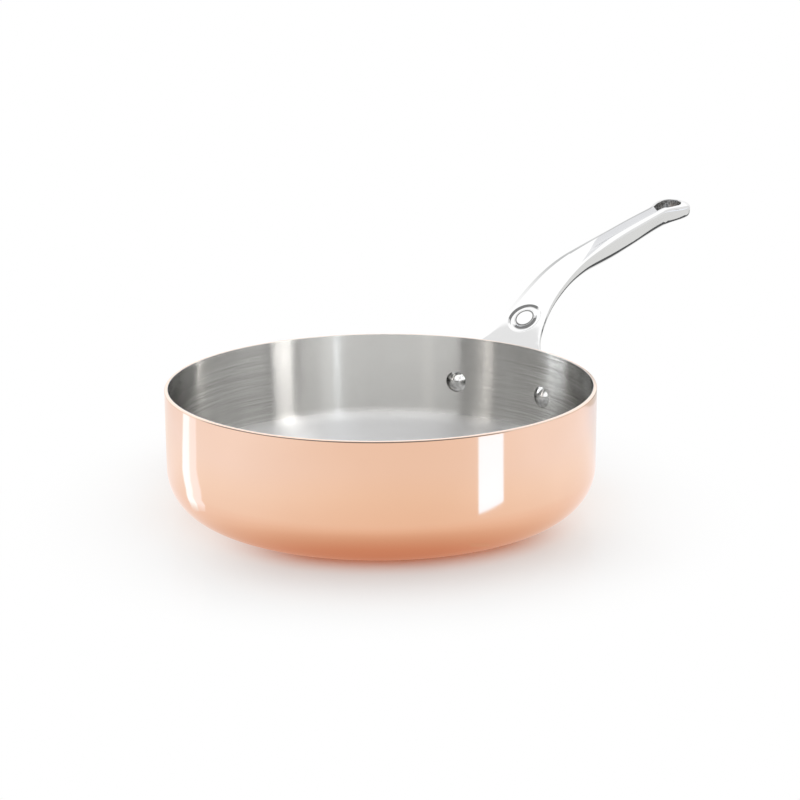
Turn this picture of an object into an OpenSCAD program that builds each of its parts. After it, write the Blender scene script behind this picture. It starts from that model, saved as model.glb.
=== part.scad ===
// Straight-sided saute pan: a copper shell lined with steel, and a cast steel handle on two rivets.
// Z is up, the origin is the centre of the base on the surface it stands on, the handle points to +X.

/* [Pan] */
// Outer diameter of the pan
pan_d = 240; // [200:2:320]
// Height from the underside to the rim
pan_h = 70; // [64:1:110]
// Outer radius between the base and the wall
corner_r = 25; // [10:1:30]
// Thickness of the copper
copper_t = 1.8; // [1.2:0.1:3]
// Thickness of the steel lining
lining_t = 0.2; // [0.2:0.1:1]
// Rounding of the rim's outer edge
rim_round = 0.8; // [0.2:0.1:1.1]

/* [Rivets] */
// Height of the rivets below the rim
rivet_drop = 28; // [22:1:34]
// Distance between the rivets, measured round the wall
rivet_spread = 64.5; // [54:0.5:80]
// Diameter of a rivet's shank
shank_d = 6.4; // [4:0.1:7]
// Diameter of the domed head inside the pan
head_d = 12.8; // [9:0.1:15]
// Height of the domed head
head_h = 3; // [1.5:0.1:4]
// Diameter of the tail that is formed on the handle
tail_d = 11; // [9:0.1:13]
// Height of the formed tail
tail_h = 1.8; // [1:0.1:3]
// Room round a shank in its bores, on the diameter
bore_gap = 0.1; // [0.05:0.01:0.3]
// Width of the flat ring that shows round a tail in its spot face
spot_ring = 0.8; // [0.3:0.1:1.2]
// Depth of the spot face in the ear
spot_depth = 0.6; // [0.4:0.1:1]

/* [Handle root] */
// Radius of the round ear about each rivet
ear_r = 9.5; // [8.5:0.5:12]
// Thickness of the root plate that lies on the wall
root_t = 5; // [4:0.5:7]
// Rise of the arch between the two ears
arch_rise = 7; // [3:0.5:9]
// Radius of the bend that leads the root away from the wall
root_bend_r = 37.5; // [30:0.5:50]
// Angle that the root turns through, away from the wall
root_turn = 43; // [35:1:50]

/* [Handle strap] */
// Radius of the long bend from the strap into the grip
neck_bend_r = 139; // [110:1:180]
// Angle of the long bend
neck_turn = 35.7; // [28:0.1:38]
// Width of the strap where it passes the rim
rim_strap_w = 39.2; // [34:0.2:46]
// Width of the strap at the medallion
medallion_strap_w = 29.8; // [26:0.2:34]
// Width of the strap in the middle of the long bend
neck_w = 23; // [20:0.2:26]
// Thickness of the strap at the medallion
strap_t = 3.4; // [2.6:0.1:5]
// Thickness of the strap in the middle of the long bend
neck_t = 5.6; // [4:0.1:7]

/* [Medallion] */
// Distance of the medallion past the bend that leaves the wall
medallion_reach = 17; // [14:0.5:22]
// Outer diameter of the ring groove
ring_d = 21.5; // [16:0.5:22]
// Diameter of the plain button inside the groove
button_d = 12.6; // [8:0.2:14]
// Depth of the ring groove
ring_depth = 1; // [0.4:0.1:1.4]

/* [Grip] */
// Length of the grip from the end of the long bend to the tip
grip_len = 119.5; // [100:0.5:150]
// Radius of the grip's slight droop along its length
grip_bend_r = 1470; // [600:10:4000]
// Width of the grip
grip_w = 14.8; // [12:0.2:20]
// Width of the grip just before the eye
tail_w = 13.8; // [11:0.2:18]
// Depth where the channel begins
front_t = 8.4; // [7:0.1:10]
// Depth of the swell under the front of the grip
swell_t = 12; // [10:0.1:15]
// Depth of the grip
grip_t = 11.8; // [9:0.1:14]
// Depth of the grip just before the eye
tail_t = 10.6; // [8:0.1:13]
// Height of the rounded shoulders along the top
shoulder_h = 2; // [1:0.1:3]
// Depth of the channel between the shoulders
channel_t = 2.8; // [1:0.1:3.6]

/* [Hanging eye] */
// Width of the eye
eye_w = 25.2; // [23:0.2:30]
// Length of the eye's rounded end beyond its widest place
eye_end = 7.2; // [6:0.1:14]
// Length over which the grip widens into the eye
eye_flare = 22; // [16:0.5:30]
// Depth of the eye
eye_t = 10.5; // [7:0.1:12]
// Width of the hole
hole_w = 16; // [12:0.2:17]
// Diameter of the hole's small end
hole_tip_d = 11.6; // [8:0.2:12]
// Length of the hole
hole_len = 21.6; // [18:0.2:24]
// Metal left between the hole and the tip
hole_wall = 4; // [3:0.2:6]

/* [Hidden] */
$fn = 96;
// Facets of the pan's own wall, where the handle and the rivets' heads are cut to it
wall_fn = 288;

pan_r = pan_d / 2;
lining_r = pan_r - copper_t;
inside_r = lining_r - lining_t;
rivet_z = pan_h - rivet_drop;
ear_u = rivet_spread / 2;
rivet_angle = ear_u / pan_r * 180 / PI;
bore_d = shank_d + bore_gap;
spot_r = pan_r + root_t - spot_depth;
spot_d = tail_d + 2 * spot_ring;

// The root plate starts this far inside the wall's face and is then cut back to it
seat_sink = 1;
// The root leaves the wall this far above the rivets
bend_rise = 1.8;

// Stations along the handle, in millimetres of its side profile from the foot of the ears
function arc_len(r, turn) = r * turn * PI / 180;
function arc_turn(r, length) = length / r * 180 / PI;
ear_end = ear_r * (1 + sin(45));
seat_end = ear_r + bend_rise;
root_end = seat_end + arc_len(root_bend_r, root_turn);
neck_end = root_end + arc_len(neck_bend_r, neck_turn);
tip = neck_end + grip_len;
medallion_at = root_end + medallion_reach;
neck_at = root_end + 0.55 * (neck_end - root_end);
channel_at = root_end + 0.86 * (neck_end - root_end);
swell_at = neck_end + 0.29 * grip_len;
grip_at = neck_end + 0.42 * grip_len;
eye_at = tip - eye_end;
tail_at = eye_at - eye_flare;
hole_at = tip - hole_wall - hole_w / 2;
hole_tip_at = tip - hole_wall - hole_len + hole_tip_d / 2;

// A point after an arc that turns clockwise by turn from the heading a
function arc_to(p, a, r, turn) = p + r * [sin(a) - sin(a - turn), cos(a - turn) - cos(a)];
bend_at = [pan_r - seat_sink, rivet_z + bend_rise];
strap_at = arc_to(bend_at, 90, root_bend_r, root_turn);
strap_heading = 90 - root_turn;
grip_start = arc_to(strap_at, strap_heading, neck_bend_r, neck_turn);
grip_heading = strap_heading - neck_turn;

// Side profile of the handle's top face, as a point in XZ, and its heading
function profile(t) =
    t < seat_end ? bend_at - [0, seat_end - t] :
    t < root_end ? arc_to(bend_at, 90, root_bend_r, arc_turn(root_bend_r, t - seat_end)) :
    t < neck_end ? arc_to(strap_at, strap_heading, neck_bend_r, arc_turn(neck_bend_r, t - root_end)) :
    arc_to(grip_start, grip_heading, grip_bend_r, arc_turn(grip_bend_r, t - neck_end));
function heading(t) =
    t < seat_end ? 90 :
    t < root_end ? 90 - arc_turn(root_bend_r, t - seat_end) :
    t < neck_end ? strap_heading - arc_turn(neck_bend_r, t - root_end) :
    grip_heading - arc_turn(grip_bend_r, t - neck_end);

// A smooth curve through keys of [station, value, slope]
function ease(a, b, k) =
    let (h = b[0] - a[0])
    (2 * k ^ 3 - 3 * k ^ 2 + 1) * a[1] + (k ^ 3 - 2 * k ^ 2 + k) * h * a[2]
    + (3 * k ^ 2 - 2 * k ^ 3) * b[1] + (k ^ 3 - k ^ 2) * h * b[2];
function curve(keys, t, i = 0) =
    t <= keys[0][0] ? keys[0][1] :
    i > len(keys) - 2 ? keys[len(keys) - 1][1] :
    t > keys[i + 1][0] ? curve(keys, t, i + 1) :
    ease(keys[i], keys[i + 1], (t - keys[i][0]) / (keys[i + 1][0] - keys[i][0]));

// Half widths: round ears, a flare that draws in to the strap, the grip, and the round eye
width_keys = [
    [ear_end, ear_u + ear_r * cos(45), -1],
    [root_end, rim_strap_w / 2, -0.5],
    [medallion_at, medallion_strap_w / 2, -0.19],
    [neck_at, neck_w / 2, -0.05],
    [grip_at, grip_w / 2, 0],
    [tail_at, tail_w / 2, 0],
    [eye_at, eye_w / 2, 0]
];
function half_width(t) =
    t < ear_end ? ear_u + sqrt(max(0, ear_r ^ 2 - (t - ear_r) ^ 2)) :
    t > eye_at ? eye_w / 2 * sqrt(max(0, 1 - ((t - eye_at) / eye_end) ^ 2)) :
    curve(width_keys, t);

// Depth below the top line
strap_lead = 4;
depth_keys = [
    [seat_end, root_t + seat_sink, 0],
    [root_end + strap_lead, strap_t, 0],
    [medallion_at, strap_t, 0],
    [neck_at, neck_t, 0.05],
    [channel_at, front_t, 0.1],
    [swell_at, swell_t, 0],
    [grip_at, grip_t, -0.03],
    [tail_at, tail_t, 0],
    [eye_at, eye_t, 0]
];

// Height of the top's edges above the top line: nearly flat on the strap, full shoulders on the grip
strap_crown = 0.3;
channel_lead = 8;
shoulder_at = channel_at - channel_lead;
shoulder_keys = [
    [root_end, strap_crown, 0],
    [shoulder_at, 2 * strap_crown, 0],
    [grip_at, shoulder_h, 0],
    [tail_at, shoulder_h, 0],
    [eye_at, 0.7 * shoulder_h, 0]
];

// Depth of the channel, and how far the widest line of a section lies below the top line
channel_keys = [[shoulder_at, 0, 0], [grip_at, channel_t, 0], [tail_at, channel_t, 0], [eye_at, 0, 0]];
flank_drop = 1;
level_keys = [
    [channel_at, 0, 0],
    [grip_at, -flank_drop, 0],
    [tail_at, -flank_drop, 0],
    [eye_at, -eye_t / 4, 0]
];

// How far each section bends round the pan: 1 on the wall, 0 on the flat strap
wrap_keys = [[seat_end + 8, 1, 0], [medallion_at - 6, 0, 0]];
// How boxy the sections are: 2 is an ellipse, more is squarer
under_keys = [[seat_end, 5, 0], [medallion_at, 4, 0], [grip_at, 3.4, 0], [eye_at, 3.2, 0]];
top_keys = [[neck_at, 5, 0], [grip_at, 2.4, 0]];
// Share of the half width that the channel takes
channel_share = 0.62;

// Edge rounding of the ears' feet
foot_round = 1.6;
function rounding(r, d) = d >= r ? 0 : r - sqrt(max(0, r ^ 2 - (r - d) ^ 2));

// The arch between the ears lifts the middle of the lowest sections
arch_end = seat_end + 12;
arch_u = ear_u - 2;
function arch(t, u) =
    t > arch_end || abs(u) > arch_u ? 0 :
    arch_rise * (1 - t / arch_end) * (1 - (u / arch_u) ^ 2) ^ 2;

// A point of the handle: station t, u across it and y above its top line, wrapped round the wall
function place(t, u, y) =
    let (s = t + arch(t, u), p = profile(s), a = heading(s), wrap = curve(wrap_keys, t))
    let (r = (pan_r - seat_sink) / max(wrap, 0.001), q = arc_turn(r, u))
    let (across = (r - y) * sin(q), up = r * (1 - cos(q)) + y * cos(q))
    [p.x - up * sin(a), across, p.y + up * cos(a)];

// Height of a section's edge curve over the cosine c: past the eye's widest place, a share k of the
// way to the tip, it falls with the distance from there, so the end is round from above and from the side
function edge(k, c, n) = (1 - min(1, norm([k, abs(c) ^ (2 / n) * sqrt(1 - k ^ 2)])) ^ n) ^ (1 / n);

// The ring of points round the section at station t
ring_n = 32;
function section(t) =
    let (w = half_width(t), k = max(0, (t - eye_at) / eye_end), level = curve(level_keys, t))
    let (rise = curve(shoulder_keys, t) - level, dip = curve(channel_keys, t))
    let (drop = curve(depth_keys, t) + level - rounding(foot_round, t))
    let (n_top = curve(top_keys, t), n_under = curve(under_keys, t))
    [for (i = [0 : ring_n - 1])
        let (q = 360 * i / ring_n, n = q <= 180 ? n_top : n_under, c = cos(q), s = sin(q))
        let (u = w * sign(c) * abs(c) ^ (2 / n), h = edge(k, c, n), v = u / w / channel_share)
        let (hollow = s > 0 && abs(v) < 1 ? dip * (1 - v ^ 2) ^ 2 : 0)
        place(t, u, s > 0 ? level + rise * h - hollow : level - drop * h)];

stations = concat(
    [for (q = [0 : 11.25 : 135]) ear_r * (1 - cos(q))],
    [for (i = [1 : 12]) ear_end + (root_end - ear_end) * i / 12],
    [for (i = [1 : 26]) root_end + (neck_end - root_end) * i / 26],
    [for (i = [1 : 26]) neck_end + (tail_at - neck_end) * i / 26],
    [for (i = [1 : 10]) tail_at + (eye_at - tail_at) * i / 10],
    [for (q = [12, 24, 36, 48, 60, 70, 78, 84, 88]) eye_at + eye_end * sin(q)]
);

// One closed skin through the sections, with a ladder of faces across each end
module loft() {
    last = len(stations) - 1;
    half = ring_n / 2;
    function at(i, k) = i * ring_n + k % ring_n;
    sides = [for (i = [0 : last - 1], k = [0 : ring_n - 1])
        each [[at(i, k), at(i, k + 1), at(i + 1, k)], [at(i, k + 1), at(i + 1, k + 1), at(i + 1, k)]]];
    foot = [for (k = [0 : half - 1])
        each [[at(0, k), at(0, ring_n - k), at(0, k + 1)],
            [at(0, k + 1), at(0, ring_n - k), at(0, ring_n - k - 1)]]];
    end = [for (k = [0 : half - 1])
        each [[at(last, k), at(last, k + 1), at(last, ring_n - k)],
            [at(last, k + 1), at(last, ring_n - k - 1), at(last, ring_n - k)]]];
    used = [for (f = concat(sides, foot, end)) if (f[0] != f[1] && f[1] != f[2] && f[0] != f[2]) f];
    polyhedron(points = [for (t = stations) each section(t)], faces = used, convexity = 8);
}

// Puts children on the top line at station t, with Z square to it and X along the handle
module on_handle(t) {
    p = profile(t);
    translate([p.x, 0, p.y]) rotate([0, -heading(t), 0]) children();
}

// Puts children on a rivet's axis, with Z pointing straight out from the pan
module on_rivets() {
    for (side = [-1, 1])
        rotate([0, 0, side * rivet_angle]) translate([0, 0, rivet_z]) rotate([0, 90, 0]) children();
}

// A dome of base diameter d and height h that stands on z = 0
module dome(d, h) {
    ball_r = (d ^ 2 / 4 + h ^ 2) / 2 / h;
    intersection() {
        translate([0, 0, h - ball_r]) sphere(r = ball_r);
        cylinder(d = 2 * d, h = 2 * h);
    }
}

// Half profile of a straight-sided bowl, with a round corner
module bowl_profile(r, corner, h) {
    square([r - corner, h]);
    translate([0, corner]) square([r, h - corner]);
    translate([r - corner, corner]) circle(r = corner);
}

module copper_body() {
    color([0.86, 0.52, 0.37]) difference() {
        rotate_extrude($fn = wall_fn) difference() {
            bowl_profile(pan_r, corner_r, pan_h);
            translate([0, copper_t]) bowl_profile(lining_r, corner_r - copper_t, pan_h);
            translate([pan_r - rim_round, pan_h - rim_round]) difference() {
                square(2 * rim_round);
                circle(r = rim_round);
            }
        }
        on_rivets() cylinder(d = bore_d, h = 2 * pan_r);
    }
}

module steel_lining() {
    color([0.72, 0.72, 0.7]) difference() {
        rotate_extrude($fn = wall_fn) translate([0, copper_t]) difference() {
            bowl_profile(lining_r, corner_r - copper_t, pan_h - copper_t);
            translate([0, lining_t]) bowl_profile(inside_r, corner_r - copper_t - lining_t, pan_h);
        }
        on_rivets() cylinder(d = bore_d, h = 2 * pan_r);
    }
}

// The hanging hole: a large and a small circle joined by their tangents
module hole_outline() {
    gap = hole_at - hole_tip_at;
    lean = asin((hole_w - hole_tip_d) / 2 / gap);
    big = hole_w / 2 * [-sin(lean), cos(lean)];
    small = hole_tip_d / 2 * [-sin(lean), cos(lean)];
    circle(d = hole_w);
    translate([-gap, 0]) circle(d = hole_tip_d);
    polygon([big, small - [gap, 0], [-gap + small.x, -small.y], [big.x, -big.y]]);
}

// The ring groove: a round-bottomed channel round the button
module ring_groove() {
    half = (ring_d - button_d) / 4;
    tool_r = (half ^ 2 + ring_depth ^ 2) / 2 / ring_depth;
    rotate_extrude() translate([button_d / 2 + half, tool_r - ring_depth]) circle(r = tool_r);
}

// The cast handle, seated on the wall, with its bores, spot faces, ring groove and hanging hole
module handle() {
    color([0.8, 0.8, 0.82]) difference() {
        loft();
        cylinder(r = pan_r, h = 2 * pan_h, $fn = wall_fn);
        on_rivets() cylinder(d = bore_d, h = 2 * pan_r);
        on_rivets() translate([0, 0, spot_r]) cylinder(d = spot_d, h = 2 * root_t);
        on_handle(medallion_at) translate([0, 0, curve(shoulder_keys, medallion_at)]) ring_groove();
        on_handle(hole_at) translate([0, 0, -2 * eye_t]) linear_extrude(4 * eye_t) hole_outline();
    }
}

// A shank through both pieces, a tail formed in the spot face and a head that seats on the curved lining
module rivets() {
    color([0.78, 0.78, 0.78]) {
        on_rivets() {
            translate([0, 0, inside_r - head_h / 2]) cylinder(d = shank_d, h = spot_r - inside_r + head_h / 2);
            translate([0, 0, spot_r]) dome(tail_d, tail_h);
        }
        intersection() {
            cylinder(r = inside_r, h = pan_h, $fn = wall_fn);
            on_rivets() translate([0, 0, inside_r]) rotate([180, 0, 0]) dome(head_d, head_h);
        }
    }
}

copper_body();
steel_lining();
handle();
rivets();
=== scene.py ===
import math
import bpy
from mathutils import Matrix, Vector


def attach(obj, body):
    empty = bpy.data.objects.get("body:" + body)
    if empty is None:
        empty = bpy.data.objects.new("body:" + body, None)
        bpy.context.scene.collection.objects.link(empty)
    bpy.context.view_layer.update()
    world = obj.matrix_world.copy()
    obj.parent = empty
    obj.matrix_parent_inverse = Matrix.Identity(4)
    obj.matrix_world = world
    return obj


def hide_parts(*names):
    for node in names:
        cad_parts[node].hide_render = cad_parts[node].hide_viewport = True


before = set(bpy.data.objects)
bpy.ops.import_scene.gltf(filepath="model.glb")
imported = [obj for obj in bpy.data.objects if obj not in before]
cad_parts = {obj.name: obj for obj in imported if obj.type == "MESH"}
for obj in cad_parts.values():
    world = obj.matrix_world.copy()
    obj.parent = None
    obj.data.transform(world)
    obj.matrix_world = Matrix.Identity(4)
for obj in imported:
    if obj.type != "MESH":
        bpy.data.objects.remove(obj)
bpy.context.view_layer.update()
mm = 0.001
smoothAngle = math.radians(40)


# Shader sockets as numbers

class Flow:
    # Wraps one output socket, so that node maths can be written as plain expressions
    def __init__(self, tree, socket):
        self.tree = tree
        self.socket = socket

    def maths(self, operation, *inputs):
        return addNode(self.tree, "ShaderNodeMath", {"operation": operation}, dict(enumerate(inputs)))

    def __add__(self, other):
        return self.maths("ADD", self, other)

    def __sub__(self, other):
        return self.maths("SUBTRACT", self, other)

    def __mul__(self, other):
        return self.maths("MULTIPLY", self, other)

    def __truediv__(self, other):
        return self.maths("DIVIDE", self, other)

    def __pow__(self, other):
        return self.maths("POWER", self, other)

    def __rsub__(self, other):
        return self.maths("SUBTRACT", other, self)

    def __rtruediv__(self, other):
        return self.maths("DIVIDE", other, self)

    __radd__ = __add__
    __rmul__ = __mul__

    def ramp(self, low, high):
        # 0 at low, 1 at high, smooth between
        return addNode(self.tree, "ShaderNodeMapRange", {"interpolation_type": "SMOOTHSTEP"},
                       {"Value": self, "From Min": low, "From Max": high})

    def window(self, low, high, soft):
        # 1 between low and high, with soft edges
        return self.ramp(low - soft, low + soft) * (1 - self.ramp(high - soft, high + soft))

    def parts(self):
        # The three coordinates of a vector
        node = addNode(self.tree, "ShaderNodeSeparateXYZ", {}, {"Vector": self}).socket.node
        return [Flow(self.tree, socket) for socket in node.outputs]


def either(first, second):
    # Joins two masks
    return 1 - (1 - first) * (1 - second)


def setSocket(socket, value):
    # Links another node's output, or sets a number, a vector or a colour of three parts
    if isinstance(value, Flow):
        value.tree.links.new(value.socket, socket)
    elif socket.type == "RGBA":
        socket.default_value = (*value, 1)
    else:
        socket.default_value = value


def setStops(ramp, stops):
    for place, colour in stops[1:-1]:
        ramp.elements.new(place)
    for element, (place, colour) in zip(ramp.elements, stops):
        element.position = place
        element.color = (*colour, 1)


def addNode(tree, kind, settings=None, inputs=None, output=0):
    node = tree.nodes.new(kind)
    for name, value in (settings or {}).items():
        if name == "stops":
            setStops(node.color_ramp, value)
        else:
            setattr(node, name, value)
    for name, value in (inputs or {}).items():
        setSocket(node.inputs[name], value)
    return Flow(tree, node.outputs[output])


class Finish:
    # One material with a Principled shader, and the few nodes that its patterns share
    def __init__(self, name, **sockets):
        self.material = bpy.data.materials.new(name)
        self.material.use_nodes = True
        self.tree = self.material.node_tree
        self.shader = self.tree.nodes["Principled BSDF"]
        for key, value in sockets.items():
            self.set(key, value)

    def set(self, key, value):
        setSocket(self.shader.inputs[key.replace("_", " ")], value)

    def show(self, shader):
        # Shows another shader than the Principled one
        setSocket(self.tree.nodes["Material Output"].inputs["Surface"], shader)

    def add(self, kind, settings=None, inputs=None, output=0):
        return addNode(self.tree, kind, settings, inputs, output)

    def place(self):
        return self.add("ShaderNodeTexCoord", output="Object")

    def normal(self):
        return self.add("ShaderNodeNewGeometry", output="Normal")

    def noise(self, vector, scale, detail=3, roughness=0.5):
        return self.add("ShaderNodeTexNoise", {},
                        {"Vector": vector, "Scale": scale, "Detail": detail, "Roughness": roughness})

    def stretched(self, vector, x, y, z):
        return self.add("ShaderNodeMapping", {}, {"Vector": vector, "Scale": (x, y, z)})

    def vector(self, operation, *inputs, output="Vector"):
        return self.add("ShaderNodeVectorMath", {"operation": operation}, dict(enumerate(inputs)), output)

    def mixed(self, factor, first, second, kind="MIX"):
        # Mixes two colours
        return self.add("ShaderNodeMix", {"data_type": "RGBA", "blend_type": kind},
                        {"Factor": factor, "A": first, "B": second}, output="Result")

    def blended(self, factor, first, second):
        # Mixes two shaders
        return self.add("ShaderNodeMixShader", {}, {"Fac": factor, 1: first, 2: second})

    def glow(self, colour, strength):
        return self.add("ShaderNodeEmission", {}, {"Color": colour, "Strength": strength})


# Camera, fitted to the rim, the wall and the handle of the photographed pan. Azimuth and elevation are in degrees,
# distance and height in metres, the focal length in pixels of the frame, and the small turns in radians

cameraFit = {
    "azimuth": 51.6, "elevation": 14.4188, "distance": 1.150, "aimHeight": 0.070,
    "focal": 2064.636, "frameWidth": 800, "sensor": 36,
    "roll": -0.00839, "yaw": 0.00926, "pitch": -0.00867,
}


def addCamera(fit):
    # The photograph's view: round the pan by azimuth, then small turns of the camera itself
    tilt = math.radians(fit["elevation"])
    back = Vector((0, -math.cos(tilt), math.sin(tilt)))
    place = Vector((0, 0, fit["aimHeight"])) + fit["distance"] * back
    ahead, right = -back, Vector((1, 0, 0))
    up = right.cross(ahead)

    def turned(first, second, angle):
        return first * math.cos(angle) + second * math.sin(angle), second * math.cos(angle) - first * math.sin(angle)

    ahead, right = turned(ahead, right, fit["yaw"])
    ahead, up = turned(ahead, up, fit["pitch"])
    right, up = turned(right, up, fit["roll"])
    turn = Matrix.Rotation(math.radians(-fit["azimuth"]), 3, "Z")
    axes = Matrix((turn @ right, turn @ up, turn @ -ahead)).transposed()
    camera = bpy.data.objects.new("camera", bpy.data.cameras.new("camera"))
    bpy.context.scene.collection.objects.link(camera)
    camera.matrix_world = Matrix.Translation(turn @ place) @ axes.to_4x4()
    camera.data.sensor_width = fit["sensor"]
    camera.data.lens = fit["sensor"] * fit["focal"] / fit["frameWidth"]
    bpy.context.scene.camera = camera


addCamera(cameraFit)
print("camera placed")


# Helpers for modelling

def deselectAll():
    bpy.ops.object.select_all(action="DESELECT")


def pick(piece):
    deselectAll()
    piece.select_set(True)
    bpy.context.view_layer.objects.active = piece


def applyAll(piece):
    pick(piece)
    for modifier in list(piece.modifiers):
        bpy.ops.object.modifier_apply(modifier=modifier.name)


def mergePoints(piece, distance=0.002 * mm):
    pick(piece)
    bpy.ops.object.mode_set(mode="EDIT")
    bpy.ops.mesh.select_all(action="SELECT")
    bpy.ops.mesh.remove_doubles(threshold=distance)
    bpy.ops.mesh.normals_make_consistent(inside=False)
    bpy.ops.object.mode_set(mode="OBJECT")


def joinInto(name, pieces):
    deselectAll()
    for piece in pieces:
        piece.select_set(True)
    bpy.context.view_layer.objects.active = pieces[0]
    bpy.ops.object.join()
    pieces[0].name = name
    return pieces[0]


# Finishes

# Copper: two tones of the polished wall, and a painted highlight, a paler band along the top of the rim, by height in
# millimetres
copperLook = {
    "tones": ((0.83, 0.548, 0.392), (0.81, 0.53, 0.375)), "rimHighlight": (0.90, 0.72, 0.61), "rimHighlightHeight": (69.3, 69.8),
    "roughness": 0.05, "roughnessChange": 0.05,
}


def copperFinish(look):
    finish = Finish("copper", Metallic=1.0)
    here = finish.place()
    cloud = finish.noise(here, scale=18, detail=2)
    fine = finish.noise(finish.stretched(here, 1, 1, 3), scale=900, detail=2, roughness=0.6)
    # The top of the rim is painted paler: a painted highlight
    low, high = look["rimHighlightHeight"]
    cut = here.parts()[2].ramp(low * mm, high * mm)
    wall = finish.mixed(cloud.ramp(0.3, 0.7), *look["tones"])
    finish.set("Base_Color", finish.mixed(cut, wall, look["rimHighlight"]))
    finish.set("Roughness", look["roughness"] + fine * look["roughnessChange"])
    return finish


# Lining: brush marks run round the pan, and show most on two sides, away from the middle along sideWay. The tilt is of
# finer marks than the eye parts, which draw each reflection out in height
liningLook = {
    "tones": ((0.39, 0.385, 0.37), (0.66, 0.655, 0.64)), "base": (0.86, 0.86, 0.86),
    "roughness": 0.18, "markRoughness": 0.05, "baseRoughness": 0.34, "tilt": 2.4,
    "sideWay": (0.621, -0.784), "sideReach": (40, 105),
    "middleContrast": 0.05, "sideContrast": 0.4, "patchContrast": 1.6,
}


def liningFinish(look):
    finish = Finish("lining", Metallic=1.0, Anisotropic=1.0, Anisotropic_Rotation=0.25)
    here = finish.place()
    # Hair-thin in height and long along the wall
    hair = finish.noise(finish.stretched(here, 0.25, 0.25, 75), scale=60, roughness=0.6)
    patch = finish.noise(finish.stretched(here, 1, 1, 12), scale=22, detail=2)
    x, y = here.parts()[:2]
    aside = x * look["sideWay"][0] + y * look["sideWay"][1]
    low, high = look["sideReach"]
    sides = aside.maths("ABSOLUTE", aside).ramp(low * mm, high * mm)
    contrast = look["sideContrast"] + patch.ramp(0.3, 0.55) * look["patchContrast"]
    marks = 0.5 + (hair - 0.5) * (look["middleContrast"] + sides * contrast)
    face = finish.normal()
    # Faces that look up, as on the pan's inner floor, get a lighter colour, which is painted light, and a rougher
    # finish
    flat = face.parts()[2].ramp(0.02, 0.5)
    worn = finish.mixed(marks.ramp(0.2, 0.8), *look["tones"])
    finish.set("Base_Color", finish.mixed(flat, worn, look["base"]))
    finish.set("Roughness", look["roughness"] + marks * look["markRoughness"] + flat * look["baseRoughness"])
    fine = finish.noise(finish.stretched(here, 20, 20, 6000), scale=60, detail=2, roughness=0.6)
    lean = finish.add("ShaderNodeCombineXYZ", {}, {"Z": (fine - 0.5) * look["tilt"]})
    finish.set("Normal", finish.vector("NORMALIZE", finish.vector("ADD", face, lean)))
    return finish


# Handle: polished, with a satin channel along the grip's top that runs out aslant towards the strap, its darker
# colour a painted reflection, a painted dark reflection along the outline of one side and a dark fine line round the
# medallion's button. Places along X, widths and distances are in millimetres
handleLook = {
    "polish": ((0.85, 0.85, 0.85), (0.87, 0.87, 0.87)), "satinWithPaintedReflection": ((0.60, 0.605, 0.62), (0.66, 0.665, 0.68)),
    "paintedEdge": (0.38, 0.385, 0.385), "darkLine": (0.24, 0.24, 0.235),
    "roughness": 0.04, "roughnessChange": 0.04, "satinRoughness": 0.08,
    "channelStart": (187, 195), "channelEnd": (296, 300), "channelHalf": 4.6, "channelSoft": 0.35,
    "slantEnd": 234, "slantWide": 3.6, "paintedEdgeStart": (135, 200),
    "medallion": (141.2, 0, 81.3), "lineReach": (5.15, 6.0, 0.12),
}


def handleFinish(look):
    finish = Finish("handle", Metallic=1.0)
    here = finish.place()
    x, y = here.parts()[:2]
    cloud = finish.noise(here, scale=60, detail=2)
    up = finish.normal().parts()[2].ramp(0.3, 0.5)

    def between(places):
        low, high = places
        return x.ramp(low * mm, high * mm)

    # The satin band and its painted reflection are wider on one side where they run out
    half, soft = look["channelHalf"] * mm, look["channelSoft"] * mm
    run = between((look["channelStart"][0], look["slantEnd"]))
    wide = half + (1 - run) * look["slantWide"] * mm
    side, otherSide = (y + wide).ramp(-soft, soft), (y + wide - run * 2 * half).ramp(-soft, soft)
    inside = between(look["channelStart"]) * (1 - between(look["channelEnd"])) * up * side * (1 - otherSide)
    # The satin band is painted darker: a painted reflection, on a rougher real finish
    shade = finish.mixed(inside, finish.mixed(cloud, *look["polish"]), finish.mixed(cloud, *look["satinWithPaintedReflection"]))
    # A dark line along one side's outline, and more lightly over the eye's end, is a painted reflection
    edge = finish.add("ShaderNodeAttribute", {"attribute_name": "edge"}, output="Fac")
    shade = finish.mixed(edge * up * between(look["paintedEdgeStart"]), shade, look["paintedEdge"])
    centre = [place * mm for place in look["medallion"]]
    distance = finish.vector("LENGTH", finish.vector("SUBTRACT", here, centre), output="Value")
    line = distance.window(*[reach * mm for reach in look["lineReach"]])
    finish.set("Base_Color", finish.mixed(line, shade, look["darkLine"]))
    finish.set("Roughness", look["roughness"] + cloud * look["roughnessChange"] + inside * look["satinRoughness"])
    return finish


# The wall of the hanging hole keeps the dark skin of the casting, and the rivets' heads are mottled
mottledLooks = {
    "castSkin": {"scale": 900, "contrast": (0.35, 0.65), "tones": ((0.24, 0.24, 0.235), (0.62, 0.62, 0.61)),
                 "roughness": 0.35, "roughnessChange": 0.15},
    "rivets": {"scale": 420, "contrast": (0.3, 0.7), "tones": ((0.36, 0.36, 0.355), (0.68, 0.68, 0.67)),
               "roughness": 0.12, "roughnessChange": 0.12},
}


def mottledFinish(name, look):
    finish = Finish(name, Metallic=1.0)
    grain = finish.noise(finish.place(), look["scale"], roughness=0.6).ramp(*look["contrast"])
    finish.set("Base_Color", finish.mixed(grain, *look["tones"]))
    finish.set("Roughness", look["roughness"] + grain * look["roughnessChange"])
    return finish


finishes = {
    "copper": copperFinish(copperLook), "lining": liningFinish(liningLook), "handle": handleFinish(handleLook),
}
for name, look in mottledLooks.items():
    finishes[name] = mottledFinish(name, look)
print("finishes mixed")


# Pan: two lathed layers, copper outside and steel inside

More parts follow.
